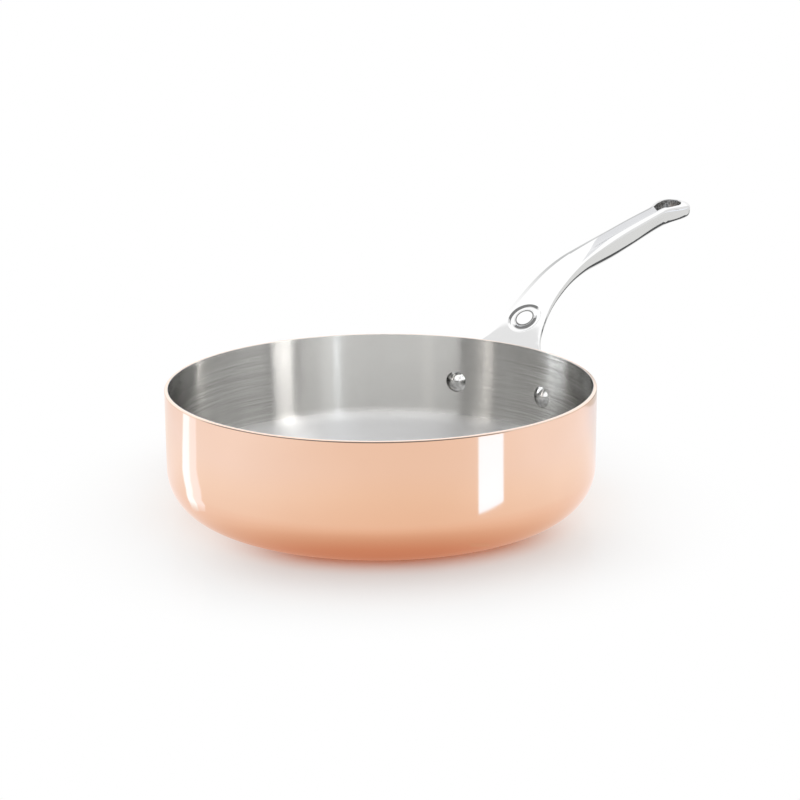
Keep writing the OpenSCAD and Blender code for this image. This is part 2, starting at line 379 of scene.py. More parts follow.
panSizes = {
    "radius": 120, "height": 70, "corner": 25, "copper": 1.8, "steel": 0.2,
    "rimOutside": 0.8, "rimInside": 0.12, "rimBetween": 0.03,
    "turns": 360, "cornerSteps": 28, "rimSteps": (8, 4), "baseRings": 10, "wallRings": 8,
    "cornerGap": 0.2, "rimGap": 0.15,
}


def arcPoints(middle, radius, start, end, steps):
    # Points of a half section, from start to end in degrees, anticlockwise from +X
    angles = [math.radians(start + (end - start) * k / steps) for k in range(steps + 1)]
    return [(middle[0] + radius * math.cos(a), middle[1] + radius * math.sin(a)) for a in angles]


def lathe(name, outline, turns):
    # Bends a circle to a closed half section in millimetres and spins it round Z
    deselectAll()
    bpy.ops.mesh.primitive_circle_add(vertices=len(outline), radius=10 * mm)
    piece = bpy.context.object
    piece.name = name
    for vertex, (x, z) in zip(piece.data.vertices, outline):
        vertex.co = (x * mm, 0, z * mm)
    bpy.ops.object.mode_set(mode="EDIT")
    bpy.ops.mesh.select_all(action="SELECT")
    bpy.ops.mesh.spin(steps=turns, angle=2 * math.pi, center=(0, 0, 0), axis=(0, 0, 1))
    bpy.ops.object.mode_set(mode="OBJECT")
    mergePoints(piece)
    return piece


def layerOutline(sizes, outside, inside, foot, roundOutside, roundInside):
    # Half section of one layer of the pan, from the middle of its underside round to the middle of its top
    corner, top, thick = sizes["corner"], sizes["height"], outside - inside
    middle = (sizes["radius"] - corner, corner)
    rings = [middle[0] * k / sizes["baseRings"] for k in range(1, sizes["baseRings"])]
    rise = [corner + (top - corner) * k / sizes["wallRings"] for k in range(1, sizes["wallRings"])]
    rise = [corner + sizes["cornerGap"]] + rise + [top - roundOutside - sizes["rimGap"]]
    outline = [(0, foot)] + [(r, foot) for r in rings]
    outline += arcPoints(middle, outside - middle[0], -90, 0, sizes["cornerSteps"])
    outline += [(outside, z) for z in rise]
    outline += arcPoints((outside - roundOutside, top - roundOutside), roundOutside, 0, 90, sizes["rimSteps"][0])
    outline += arcPoints((inside + roundInside, top - roundInside), roundInside, 90, 180, sizes["rimSteps"][1])
    outline += [(inside, z) for z in reversed(rise)]
    outline += arcPoints(middle, inside - middle[0], 0, -90, sizes["cornerSteps"])
    outline += [(r, foot + thick) for r in reversed(rings)] + [(0, foot + thick)]
    return outline


def makePan(sizes):
    outside = sizes["radius"]
    between = outside - sizes["copper"]
    inside = between - sizes["steel"]
    copper = layerOutline(sizes, outside, between, 0, sizes["rimOutside"], sizes["rimBetween"])
    steel = layerOutline(sizes, between, inside, sizes["copper"], sizes["rimBetween"], sizes["rimInside"])
    for name, outline, node, slot in (("copperShell", copper, "copper_body", "copper"),
                                      ("steelLining", steel, "steel_lining", "lining")):
        piece = lathe(name, outline, sizes["turns"])
        bpy.ops.object.shade_smooth_by_angle(angle=smoothAngle)
        piece.data.materials.append(finishes[slot].material)
        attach(piece, "root")
        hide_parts(node)


makePan(panSizes)
print("pan lathed")


# Handle: one skin by its station t along the side profile and the distance u across it, in millimetres

handleSizes = {
    # The seat on the wall, the two ears and the arch between them
    "seatSink": 1, "rivetDrop": 28, "rivetSpread": 64.5, "earRadius": 9.5, "footRound": 1.6, "seatTop": 75,
    "archRise": 7, "archLength": 12, "archInset": 2,
    # The side profile: its bends' radii, its turns in degrees and its straight lengths
    "bendRise": 1.8, "rootBend": 37.5, "rootTurn": 43, "neckBend": 139, "neckTurn": 35.7,
    "gripBend": 1470, "gripLength": 119.5,
    # The named sections: where they lie, as shares of the neck's length and of the grip's, and how wide and thick
    "neckAt": 0.55, "channelAt": 0.86, "swellAt": 0.29, "gripAt": 0.42,
    "rimWidth": 39.2, "medallionWidth": 29.8, "neckWidth": 23, "gripWidth": 14.8, "tailWidth": 13.8,
    "rootThick": 5, "strapThick": 3.4, "neckThick": 5.6, "frontThick": 8.4, "swellThick": 12, "gripThick": 11.8,
    "tailThick": 10.6, "strapFrom": 4, "wrapReach": (8, 6),
    # Rounding: the shoulders' heights, and how square the section is under and on top (2 is round)
    "rootShoulder": 0.3, "neckShoulder": 0.6, "shoulder": 2, "eyeShoulder": 1.4, "shoulderLead": 8, "gripLevel": -1,
    "rootUnder": 5, "medallionUnder": 4, "gripUnder": 3.4, "eyeUnder": 3.2, "neckTop": 5, "gripTop": 2.4,
    "channel": 2.8, "channelShare": 0.62,
    # The medallion's ring, its button's fine line, and the painted dark reflection along one side's outline: its width
    # up to each place along X
    "medallionReach": 17, "ringWide": 21.5, "buttonWide": 12.6, "ringDepth": 1, "ringEdge": 0.1,
    "lineRadius": 5.75, "lineWide": 0.16, "lineDepth": 0.1,
    "paintedEdgeWidths": ((200, 3.2), (296, 3.8), (math.inf, 5.4)), "paintedEdgeSoft": 0.5,
    "eyePaintedEdge": 296, "eyeEndPaintedEdge": (313, 316), "eyePaintedEdgeShare": 0.42,
    # The eye and its drop-shaped hole
    "eyeWidth": 25.2, "eyeEnd": 7.2, "eyeFlare": 22, "eyeThick": 10.5,
    "holeWidth": 16, "holeTip": 11.6, "holeLength": 21.6, "holeWall": 4, "holeEdge": 0.9,
    # Fineness of the mesh
    "earRows": 30, "rootRows": 34, "strapRows": 8, "medallionRows": 52, "neckRows": 64, "gripRows": 96,
    "sideColumns": 42, "medallionZone": 13, "medallionColumn": 34, "medallionSteps": 8,
    "eyeZone": 24.5, "eyeColumn": 34, "eyeRows": 40, "eyeTurns": 48, "eyeSteps": 14, "eyeEase": 1.3,
    "lipSteps": 7, "holeRows": 4,
    "medallionRings": [11.6 - 0.1 * k for k in range(5)] + [11.1 - 0.07 * k for k in range(10)]
    + [10.3 - 0.2 * k for k in range(18)] + [6.7 - 0.06 * k for k in range(20)]
    + [5.4 - 0.6 * k for k in range(9)] + [0],
}


def hermite(keys, t):
    # The value at station t of a smooth curve through keys of station, value and slope
    if t <= keys[0][0]:
        return keys[0][1]
    for (t0, v0, s0), (t1, v1, s1) in zip(keys, keys[1:]):
        if t <= t1:
            k, h = (t - t0) / (t1 - t0), t1 - t0
            return ((2 * k ** 3 - 3 * k ** 2 + 1) * v0 + (k ** 3 - 2 * k ** 2 + k) * h * s0
                    + (3 * k ** 2 - 2 * k ** 3) * v1 + (k ** 3 - k ** 2) * h * s1)
    return keys[-1][1]


class HandleForm:
    def __init__(self, sizes, pan):
        s = self.s = sizes
        self.wall = pan["radius"]
        self.ear = s["rivetSpread"] / 2
        self.rivetZ = pan["height"] - s["rivetDrop"]
        self.earEnd = s["earRadius"] * (1 + math.sin(math.radians(45)))
        self.seatEnd = s["earRadius"] + s["bendRise"]
        self.rootEnd = self.seatEnd + s["rootBend"] * math.radians(s["rootTurn"])
        self.neckEnd = self.rootEnd + s["neckBend"] * math.radians(s["neckTurn"])
        self.tip = self.neckEnd + s["gripLength"]
        self.medallion = self.rootEnd + s["medallionReach"]
        neck = self.rootEnd + s["neckAt"] * (self.neckEnd - self.rootEnd)
        channel = self.rootEnd + s["channelAt"] * (self.neckEnd - self.rootEnd)
        swell = self.neckEnd + s["swellAt"] * s["gripLength"]
        grip = self.neckEnd + s["gripAt"] * s["gripLength"]
        self.eye = self.tip - s["eyeEnd"]
        tail = self.eye - s["eyeFlare"]
        self.hole = self.tip - s["holeWall"] - s["holeWidth"] / 2
        self.holeTip = self.tip - s["holeWall"] - s["holeLength"] + s["holeTip"] / 2
        self.archEnd = self.seatEnd + s["archLength"]
        self.archHalf = self.ear - s["archInset"]
        shoulder = channel - s["shoulderLead"]
        # What changes along the handle, each a curve through keys of station, value and slope
        self.widths = [(self.earEnd, self.ear + s["earRadius"] * math.cos(math.radians(45)), -1),
                       (self.rootEnd, s["rimWidth"] / 2, -0.5), (self.medallion, s["medallionWidth"] / 2, -0.19),
                       (neck, s["neckWidth"] / 2, -0.05), (grip, s["gripWidth"] / 2, 0),
                       (tail, s["tailWidth"] / 2, 0), (self.eye, s["eyeWidth"] / 2, 0)]
        self.depths = [(self.seatEnd, s["rootThick"] + s["seatSink"], 0),
                       (self.rootEnd + s["strapFrom"], s["strapThick"], 0), (self.medallion, s["strapThick"], 0),
                       (neck, s["neckThick"], 0.05), (channel, s["frontThick"], 0.1), (swell, s["swellThick"], 0),
                       (grip, s["gripThick"], -0.03), (tail, s["tailThick"], 0), (self.eye, s["eyeThick"], 0)]
        self.shoulders = [(self.rootEnd, s["rootShoulder"], 0), (shoulder, s["neckShoulder"], 0),
                          (grip, s["shoulder"], 0), (tail, s["shoulder"], 0), (self.eye, s["eyeShoulder"], 0)]
        self.dips = [(shoulder, 0, 0), (grip, s["channel"], 0), (tail, s["channel"], 0), (self.eye, 0, 0)]
        self.levels = [(channel, 0, 0), (grip, s["gripLevel"], 0), (tail, s["gripLevel"], 0),
                       (self.eye, -s["eyeThick"] / 4, 0)]
        self.wraps = [(self.seatEnd + s["wrapReach"][0], 1, 0), (self.medallion - s["wrapReach"][1], 0, 0)]
        self.unders = [(self.seatEnd, s["rootUnder"], 0), (self.medallion, s["medallionUnder"], 0),
                       (grip, s["gripUnder"], 0), (self.eye, s["eyeUnder"], 0)]
        self.tops = [(neck, s["neckTop"], 0), (grip, s["gripTop"], 0)]

    def profile(self, t):
        # Point in XZ and heading of the top line at station t
        s = self.s
        x, z, a = self.wall - s["seatSink"], self.rivetZ + s["bendRise"], math.pi / 2
        if t < self.seatEnd:
            return x, z - (self.seatEnd - t), a
        for start, end, radius in ((self.seatEnd, self.rootEnd, s["rootBend"]),
                                   (self.rootEnd, self.neckEnd, s["neckBend"]),
                                   (self.neckEnd, 2 * self.tip, s["gripBend"])):
            turn = (min(t, end) - start) / radius
            x += radius * (math.sin(a) - math.sin(a - turn))
            z += radius * (math.cos(a - turn) - math.cos(a))
            a -= turn
            if t <= end:
                return x, z, a

    def halfWidth(self, t):
        s = self.s
        if t < self.earEnd:
            return self.ear + math.sqrt(max(0, s["earRadius"] ** 2 - (t - s["earRadius"]) ** 2))
        if t > self.eye:
            return s["eyeWidth"] / 2 * math.sqrt(max(0, 1 - ((t - self.eye) / s["eyeEnd"]) ** 2))
        return hermite(self.widths, t)

    def share(self, t, u):
        # 0 on the middle line, 1 on the outline
        if t > self.eye:
            s = self.s
            return min(1, math.hypot((t - self.eye) / s["eyeEnd"], 2 * u / s["eyeWidth"]))
        return min(1, abs(u) / self.halfWidth(t))

    def bulge(self, q, n):
        return (1 - min(1, q) ** n) ** (1 / n)

    def top(self, t, u):
        s, level = self.s, hermite(self.levels, t)
        rise = hermite(self.shoulders, t) - level
        v = u / self.halfWidth(min(t, self.eye)) / s["channelShare"]
        hollow = hermite(self.dips, t) * (1 - v ** 2) ** 2 if abs(v) < 1 else 0
        return level + rise * self.bulge(self.share(t, u), hermite(self.tops, t)) - hollow

    def under(self, t, u):
        s, level = self.s, hermite(self.levels, t)
        cut = s["footRound"] - math.sqrt(s["footRound"] ** 2 - max(0, s["footRound"] - t) ** 2)
        drop = hermite(self.depths, t) + level - cut
        return level - drop * self.bulge(self.share(t, u), hermite(self.unders, t))

    def place(self, t, u, y):
        # Station, distance across and height above the top line, wrapped round the wall at the root
        arch = 0
        if t < self.archEnd and abs(u) < self.archHalf:
            arch = self.s["archRise"] * (1 - t / self.archEnd) * (1 - (u / self.archHalf) ** 2) ** 2
        x, z, a = self.profile(t + arch)
        seat = self.wall - self.s["seatSink"]
        wrap = hermite(self.wraps, t)
        across, up = u, y
        if wrap > 0.0005:
            r = seat / wrap
            across, up = (r - y) * math.sin(u / r), r * (1 - math.cos(u / r)) + y * math.cos(u / r)
        point = Vector((x - up * math.sin(a), across, z + up * math.cos(a)))
        # Nothing of the seat goes into the wall
        flat = math.hypot(point.x, point.y)
        if flat < self.wall and point.z < self.s["seatTop"]:
            point.x, point.y = point.x * self.wall / flat, point.y * self.wall / flat
        return point * mm

    def columns(self, n, count, fine=800, flatten=0.45):
        # Shares of the half width from the middle out, evenly spaced along a superellipse of exponent n
        angles = [math.radians(90 * k / fine) for k in range(fine + 1)]
        run = [(math.sin(a) ** (2 / n), math.cos(a) ** (2 / n)) for a in angles]
        lengths = [0]
        for (x0, y0), (x1, y1) in zip(run, run[1:]):
            lengths.append(lengths[-1] + math.hypot(x1 - x0, flatten * (y1 - y0)))
        shares, at = [], 0
        for k in range(count + 1):
            goal = lengths[-1] * k / count
            while at < fine - 1 and lengths[at + 1] < goal:
                at += 1
            part = (goal - lengths[at]) / (lengths[at + 1] - lengths[at])
            shares.append(run[at][0] + part * (run[at + 1][0] - run[at][0]))
        shares[-1] = 1
        return shares


def layGrid(name, rows, columns, pointAt):
    # A grid primitive whose points are moved to pointAt(row, column)
    deselectAll()
    bpy.ops.mesh.primitive_grid_add(x_subdivisions=columns - 1, y_subdivisions=rows - 1, size=10 * mm)
    patch = bpy.context.object
    patch.name = name
    for index, vertex in enumerate(patch.data.vertices):
        vertex.co = pointAt(index // columns, index % columns)
    return patch


def deleteFaces(piece, chosen):
    # Removes the faces that a test picks
    pick(piece)
    bpy.context.tool_settings.mesh_select_mode = (False, False, True)
    bpy.ops.object.mode_set(mode="EDIT")
    bpy.ops.mesh.select_all(action="DESELECT")
    bpy.ops.object.mode_set(mode="OBJECT")
    for polygon in piece.data.polygons:
        polygon.select = chosen(polygon)
    bpy.ops.object.mode_set(mode="EDIT")
    bpy.ops.mesh.delete(type="FACE")
    bpy.ops.object.mode_set(mode="OBJECT")
    bpy.context.tool_settings.mesh_select_mode = (True, False, False)


def spread(start, end, count):
    return [start + (end - start) * k / count for k in range(count)]


def handleRows(form):
    # Stations of the skin, close together at the ears' round feet and at the medallion
    s = form.s
    near, eyeStart = form.medallion - s["medallionZone"], form.eye - s["eyeZone"]
    far = near + 2 * s["medallionZone"]
    rows = [s["earRadius"] * (1 - math.cos(math.radians(a))) for a in spread(0, 135, s["earRows"])]
    rows += spread(form.earEnd, form.rootEnd, s["rootRows"]) + spread(form.rootEnd, near, s["strapRows"])
    first = len(rows)
    rows += spread(near, far, s["medallionRows"])
    last = len(rows)
    rows += spread(far, form.neckEnd, s["neckRows"]) + spread(form.neckEnd, eyeStart, s["gripRows"]) + [eyeStart]
    return rows, first, last


def holeReach(form, angle, grow):
    # From the middle of the drop-shaped hole to its outline, grown by a distance, along an angle
    s = form.s
    middle, gap = (form.hole + form.holeTip) / 2, form.hole - form.holeTip
    big, small = s["holeWidth"] / 2, s["holeTip"] / 2
    lean = (big - small) / gap
    slope = math.sqrt(1 - lean ** 2)
    # Halves the range of reach that the outline lies in
    low, high = 0, 40
    for halving in range(34):
        reach = (low + high) / 2
        x, y = middle + reach * math.cos(angle) - form.holeTip, abs(reach * math.sin(angle))
        side = x * slope + y * lean
        if side < 0:
            away = math.hypot(x, y) - small
        elif side > gap * slope:
            away = math.hypot(x - gap, y) - big
        else:
            away = y * slope - x * lean - small
        low, high = (reach, high) if away < grow else (low, reach)
    return low


def ringCut(form, r):
    # Depth of the medallion's ring groove, with softened edges, and of the fine line on its button
    s = form.s
    half = (s["ringWide"] - s["buttonWide"]) / 4
    middle = s["buttonWide"] / 2 + half
    tool = (half ** 2 + s["ringDepth"] ** 2) / 2 / s["ringDepth"]
    off = abs(r - middle)
    if off < half:
        depth = math.sqrt(tool ** 2 - off ** 2) - (tool - s["ringDepth"])
    else:
        depth = (half - off) * half / math.sqrt(tool ** 2 - half ** 2)
    line = s["lineDepth"] * math.exp(-((r - s["lineRadius"]) / s["lineWide"]) ** 2)
    return (depth + math.hypot(depth, s["ringEdge"])) / 2 + line


def makeHandle(sizes, pan):
    form = HandleForm(sizes, pan)
    count = sizes["sideColumns"]
    rows, first, last = handleRows(form)
    tops = [form.columns(hermite(form.tops, t), count) for t in rows]
    unders = [form.columns(hermite(form.unders, t), count) for t in rows]

    def sectionPoint(row, column):
        # The skin from the feet of the ears to the eye: the columns go from the top's middle round the section
        t = rows[max(0, row - 1)]
        column = column % (4 * count)
        quarter, k = divmod(column, count)
        side = 1 if quarter < 2 else -1
        above = quarter in (0, 3)
        shares = (tops if above else unders)[max(0, row - 1)]
        u = side * shares[k if quarter in (0, 2) else count - k] * form.halfWidth(t)
        y = form.top(t, u) if above else form.under(t, u)
        if row == 0:
            y = (form.top(t, u) + form.under(t, u)) / 2
        return form.place(t, u, y)

    skin = layGrid("handleSkin", len(rows) + 1, 4 * count + 1, sectionPoint)
    # The medallion gets a round patch of its own in the top
    edge, columns = sizes["medallionColumn"], 4 * count + 1

    def underMedallion(polygon):
        row, column = min(polygon.vertices) // columns, min(v % columns for v in polygon.vertices)
        return first < row <= last and (column < edge or column >= 4 * count - edge)

    deleteFaces(skin, underMedallion)

    def onTop(row, k):
        # Station and distance across of a top column, counted from the middle to either side
        return rows[row], math.copysign(tops[row][abs(k)], k) * form.halfWidth(rows[row])

    border = [onTop(row, edge) for row in range(first, last)] + [onTop(last, k) for k in range(edge, -edge, -1)]
    border += [onTop(row, -edge) for row in range(last, first, -1)] + [onTop(first, k) for k in range(-edge, edge)]
    radii, steps = sizes["medallionRings"], sizes["medallionSteps"]

    def medallionPoint(row, column):
        t, u = border[column % len(border)]
        angle = math.atan2(u, t - form.medallion)
        if row < steps:
            part = row / steps
            t += (form.medallion + radii[0] * math.cos(angle) - t) * part
            u += (radii[0] * math.sin(angle) - u) * part
            r = math.hypot(t - form.medallion, u)
        else:
            r = radii[row - steps]
            t, u = form.medallion + r * math.cos(angle), r * math.sin(angle)
        return form.place(t, u, form.top(t, u) - ringCut(form, r))

    medallion = layGrid("medallion", steps + len(radii), len(border) + 1, medallionPoint)

    # The eye: a band round its outline, then a patch from the band into and through the hole
    eyeRows = [rows[-1] + (form.eye - rows[-1]) * k / sizes["eyeRows"] for k in range(sizes["eyeRows"] + 1)]
    eyeTops = [form.columns(hermite(form.tops, t), count) for t in eyeRows]
    eyeUnders = [form.columns(hermite(form.unders, t), count) for t in eyeRows]
    turns = sizes["eyeTurns"]
    path = [(k, 90) for k in range(len(eyeRows))]
    path += [(len(eyeRows) - 1, 90 - 180 * k / turns) for k in range(1, turns)]
    path += [(k, -90) for k in range(len(eyeRows) - 1, -1, -1)]
    inner = sizes["eyeColumn"]

    def rimPoint(step, shares):
        # Station and distance across at a share of the way to the outline
        k, angle = path[step]
        t, q = eyeRows[k], shares[k]
        if abs(angle) < 90:
            a = math.radians(angle)
            return form.eye + sizes["eyeEnd"] * q * math.cos(a), sizes["eyeWidth"] / 2 * q * math.sin(a)
        return t, math.copysign(q * form.halfWidth(t), angle)

    def bandPoint(row, column):
        above = column <= count - inner
        k = inner + column if above else 2 * count - inner - column
        t, u = rimPoint(row, [shares[k] for shares in (eyeTops if above else eyeUnders)])
        return form.place(t, u, form.top(t, u) if above else form.under(t, u))

    band = layGrid("eyeBand", len(path), 2 * (count - inner) + 1, bandPoint)

    def loop(columnsOf):
        t = eyeRows[0]
        around = [rimPoint(step, [shares[inner] for shares in columnsOf]) for step in range(len(path))]
        around += [(t, math.copysign(columnsOf[0][abs(k)], k) * form.halfWidth(t)) for k in range(1 - inner, inner)]
        return around

    upper, lower = loop(eyeTops), loop(eyeUnders)
    middle = (form.hole + form.holeTip) / 2
    angles = [math.atan2(u, t - middle) for t, u in upper]
    lip, lipSteps = sizes["holeEdge"], sizes["lipSteps"]
    arc = [lip * (1 - math.sin(math.radians(90 * k / lipSteps))) for k in range(lipSteps + 1)]
    reaches = [[holeReach(form, angle, grow) for grow in arc] for angle in angles]
    wide, deep = sizes["eyeSteps"], sizes["holeRows"]

    def eyePoint(row, column):
        # Rows go over the top face, down through the hole and out over the under face
        column %= len(upper)
        angle = angles[column]
        total = 2 * (wide + len(arc)) + deep - 1
        above = row < total / 2
        k = row if above else total - row
        t0, u0 = (upper if above else lower)[column]
        if k < wide:
            part = 1 - (1 - k / wide) ** sizes["eyeEase"]
            reach = reaches[column][0]
            t = t0 + (middle + reach * math.cos(angle) - t0) * part
            u = u0 + (reach * math.sin(angle) - u0) * part
            return form.place(t, u, form.top(t, u) if above else form.under(t, u))
        step = min(k - wide, lipSteps)
        reach = reaches[column][step]
        t, u = middle + reach * math.cos(angle), reach * math.sin(angle)
        sink = lip * (1 - math.cos(math.radians(90 * step / lipSteps)))
        high, low = form.top(t, u) - sink, form.under(t, u) + sink
        if k - wide < len(arc):
            return form.place(t, u, high if above else low)
        part = (row - wide - len(arc) + 1) / (deep + 1)
        return form.place(t, u, high + (low - high) * part)

    eye = layGrid("eye", 2 * (wide + len(arc)) + deep, len(upper) + 1, eyePoint)
    for patch in (skin, medallion, band, eye):
        patch.data.materials.append(finishes["handle"].material)
    eye.data.materials.append(finishes["castSkin"].material)
    wallRows = range(wide + len(arc) - 1, wide + len(arc) + deep)
    for index, polygon in enumerate(eye.data.polygons):
        if index // len(upper) in wallRows:
            polygon.material_index = 1
    handle = joinInto("castHandle", [skin, medallion, band, eye])
    mergePoints(handle, 0.0003 * mm)
    # Closes the small gaps that the seams leave
    bpy.ops.object.mode_set(mode="EDIT")
    bpy.ops.mesh.select_all(action="SELECT")
    bpy.ops.mesh.fill_holes(sides=8)
    bpy.ops.object.mode_set(mode="OBJECT")
    markEdge(handle, sizes)
    return handle, form


def markEdge(handle, sizes):
    # Stores how near each point lies to the outline of one side, for the painted dark reflection line along it
    widest = {}
    for point in handle.data.vertices:
        for place in range(round(point.co.x / mm) - 1, round(point.co.x / mm) + 2):
            widest[place] = max(widest.get(place, 0), point.co.y)
    near = handle.data.attributes.new("edge", "FLOAT", "POINT")
    start, full = sizes["eyeEndPaintedEdge"]
    for point, stored in zip(handle.data.vertices, near.data):
        x, gap = point.co.x / mm, (widest[round(point.co.x / mm)] - point.co.y) / mm
        reach = next(width for end, width in sizes["paintedEdgeWidths"] if x < end)
        paintedEdge = min(1, max(0, (reach - gap) / sizes["paintedEdgeSoft"]))
        # The painted reflection also covers the hanging eye's whole end, more lightly
        if x > sizes["eyePaintedEdge"]:
            paintedEdge = max(paintedEdge, min(1, (x - start) / (full - start))) * sizes["eyePaintedEdgeShare"]
        stored.value = paintedEdge


def cutSpotFaces(handle, form, rivets, deep=10):
    # Flat rings round the rivets' tails, sunk in the ears
    for side in (-1, 1):
        deselectAll()
        bpy.ops.mesh.primitive_cylinder_add(vertices=96, radius=rivets["spotWide"] / 2 * mm, depth=deep * mm)
        cutter = bpy.context.object
        out = Matrix.Translation((0, 0, (rivets["spotAt"] + deep / 2) * mm))
        cutter.data.transform(rivetPlace(form, side) @ out)
        cut = handle.modifiers.new("spotFace", "BOOLEAN")
        cut.operation = "DIFFERENCE"
        cut.object = cutter
        applyAll(handle)
        bpy.data.objects.remove(cutter)


# Rivets: a domed head inside the pan, a shank, and a tail formed in the ear's spot face

rivetSizes = {
    "headWide": 12.8, "headHigh": 3, "shankWide": 6.4, "tailWide": 11, "tailHigh": 1.8,
    "headAt": 118, "spotAt": 124.4, "spotWide": 12.6, "headSteps": 20, "turns": 72,
}


def rivetPlace(form, side):
    # Local Z points straight out from the pan
    angle = side * form.ear / form.wall
    return (Matrix.Rotation(angle, 4, "Z") @ Matrix.Translation((0, 0, form.rivetZ * mm))
            @ Matrix.Rotation(math.pi / 2, 4, "Y"))


def domePoints(wide, high, steps):
    # From the dome's foot to its top
    ball = (wide ** 2 / 4 + high ** 2) / 2 / high
    reach = math.asin(wide / 2 / ball)
    return [(ball * math.sin(reach * (1 - k / steps)), ball * math.cos(reach * (1 - k / steps)) - ball + high)
            for k in range(steps + 1)]


def makeRivets(sizes, form):
    shank, seat, spot = sizes["shankWide"] / 2, sizes["headAt"], sizes["spotAt"]
    head = [(r, seat - z) for r, z in domePoints(sizes["headWide"], sizes["headHigh"], sizes["headSteps"])]
    tail = [(r, spot + z) for r, z in domePoints(sizes["tailWide"], sizes["tailHigh"], sizes["headSteps"])]
    outline = list(reversed(head)) + [(shank, seat), (shank, spot)] + tail
    pair = []
    for side in (-1, 1):
        rivet = lathe("rivet", outline, sizes["turns"])
        rivet.data.transform(rivetPlace(form, side))
        # The head seats on the round wall
        for vertex in rivet.data.vertices:
            flat = math.hypot(vertex.co.x, vertex.co.y)
            if (seat - 0.01) * mm < flat < (seat + 1) * mm:
                vertex.co.x, vertex.co.y = vertex.co.x * seat * mm / flat, vertex.co.y * seat * mm / flat
        pair.append(rivet)
    return joinInto("rivetPair", pair)


handle, form = makeHandle(handleSizes, panSizes)
cutSpotFaces(handle, form, rivetSizes)
print("handle shaped")
rivetPair = makeRivets(rivetSizes, form)
print("rivets set")
for piece, node, slot in ((handle, "handle", "handle"), (rivetPair, "rivets", "rivets")):
    pick(piece)
    bpy.ops.object.shade_smooth_by_angle(angle=smoothAngle)
    if piece is rivetPair:
        piece.data.materials.append(finishes[slot].material)
    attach(piece, "root")
    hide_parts(node)


# Studio: a pale floor, a white sky, cards that only polished metal sees, and lamps for the lining

# The floor: front and right are directions round the pan in degrees, and sizes and distances from its axis are in
# millimetres. The tint is what metal sees in it: a painted shadow with copper's painted warm glow under the pan, plain
# far away, with painted paler light at the sides and painted shade towards the right. Fades are over the cosine of
# the angle to one of the two directions
floorLook = {
    "size": 12000, "shade": 0.93, "roughness": 0.12, "ior": 1.1, "front": 228, "right": -51.6,
    "tint": [(80, (0.50, 0.21, 0.13)), (100, (0.62, 0.29, 0.19)), (117, (0.70, 0.39, 0.28)),
             (133, (0.79, 0.55, 0.43)), (153, (0.91, 0.73, 0.62)), (172, (0.96, 0.81, 0.72)),
             (208, (0.98, 0.87, 0.79)), (250, (1.0, 0.93, 0.87)), (300, (1.0, 0.96, 0.95))],
    "tintShift": 40, "sideTint": (0.09, 0.21, 0.36), "sideFades": ((-0.2, 0.74), (-0.87, -0.34)),
    "strength": 1.03, "awayLess": 0.12, "awayFades": ((0.2, 0.5), (-0.5, -0.15)),
    "warmth": (0.07, 0.018, 0.007), "warmReach": (104, 126), "blush": (1.0, 0.965, 0.94), "blushReach": (110, 150),
    "clearReach": (120, 220), "sideLift": 0.65, "liftFade": (0.04, 0.78),
}

# What metal sees of the sky: turns are in degrees round from +X and rises in degrees up. The white sheet, its upper
# part and the grey above the ears are a low edge, a high edge and their softness; the rest is fades
skyLook = {
    "forFloor": 1.06, "white": 1.18, "grey": 0.86, "earGrey": 0.90, "dark": 0.24,
    "sheet": (-24, 106, 2), "sheetRise": (3, 6), "upperSheet": (20, 141, 3), "upperRise": (55.5, 58.5),
    "ears": (107, 141, 1.5), "earsRise": (40, 46), "behindLeft": (139, 143), "behindRight": (-76, -70),
    "beside": (110, 116), "zenithRise": (76, 80), "zenithShare": 0.6,
}

# The left card's two bands lie between three edges
leftEdges = [
    [(-104.7, 62.6), (-109.1, 78.4), (-114.3, 126.9), (-109.5, 146.8), (-104.8, 171.1), (-106.2, 214),
     (-112.9, 271.6), (-122, 330)],
    [(-114.2, 61.1), (-121.3, 78.7), (-128.4, 125), (-126.5, 145.3), (-128.2, 169.7), (-134.2, 212),
     (-145.7, 268.6), (-164, 325)],
    [(-122.5, 58), (-135, 78.5), (-145.5, 120), (-146.5, 140.3), (-148.5, 165.2), (-161, 206),
     (-177, 261.7), (-202, 316)],
]

# Cards just above the floor: corners and height in millimetres, colour, strength, and where they fade in, in
# millimetres from the pan's axis
cards = {
    "rightStrip": ([(-55, -189.6), (-15.8, -208.2), (22, -360), (-57, -360)], 1.0, (0.5, 0.72, 1.0), 2.55, None),
    "leftStrip": (leftEdges[0] + leftEdges[1][::-1], 1.0, (0.55, 0.80, 1.0), 2.3, (122, 150)),
    "leftGlow": (leftEdges[1] + leftEdges[2][::-1], 1.0, (0.72, 0.83, 1.0), 1.75, (122, 160)),
    "cornerGlint": ([(-52, -105.5), (-39, -106.5), (-36, -102.5), (-50, -101.5)], 0.5, (1.0, 0.66, 0.50), 0.75, None),
    "besideHandle": ([(280, 220), (280, -330), (500, -600), (4500, -2900), (4500, 220)], 1.0, (1.0, 1.0, 0.985), 0.79,
                     None),
    "underHandle": ([(330, 10), (330, -80), (400, -92), (432, -120), (450, -128), (470, -86), (505, -80), (530, -84),
                     (570, -103), (600, -118), (690, -190), (770, -250), (900, -330), (900, -210), (640, -55),
                     (560, 10)], 1.2, (0.95, 0.97, 1.0), 0.10, None),
}

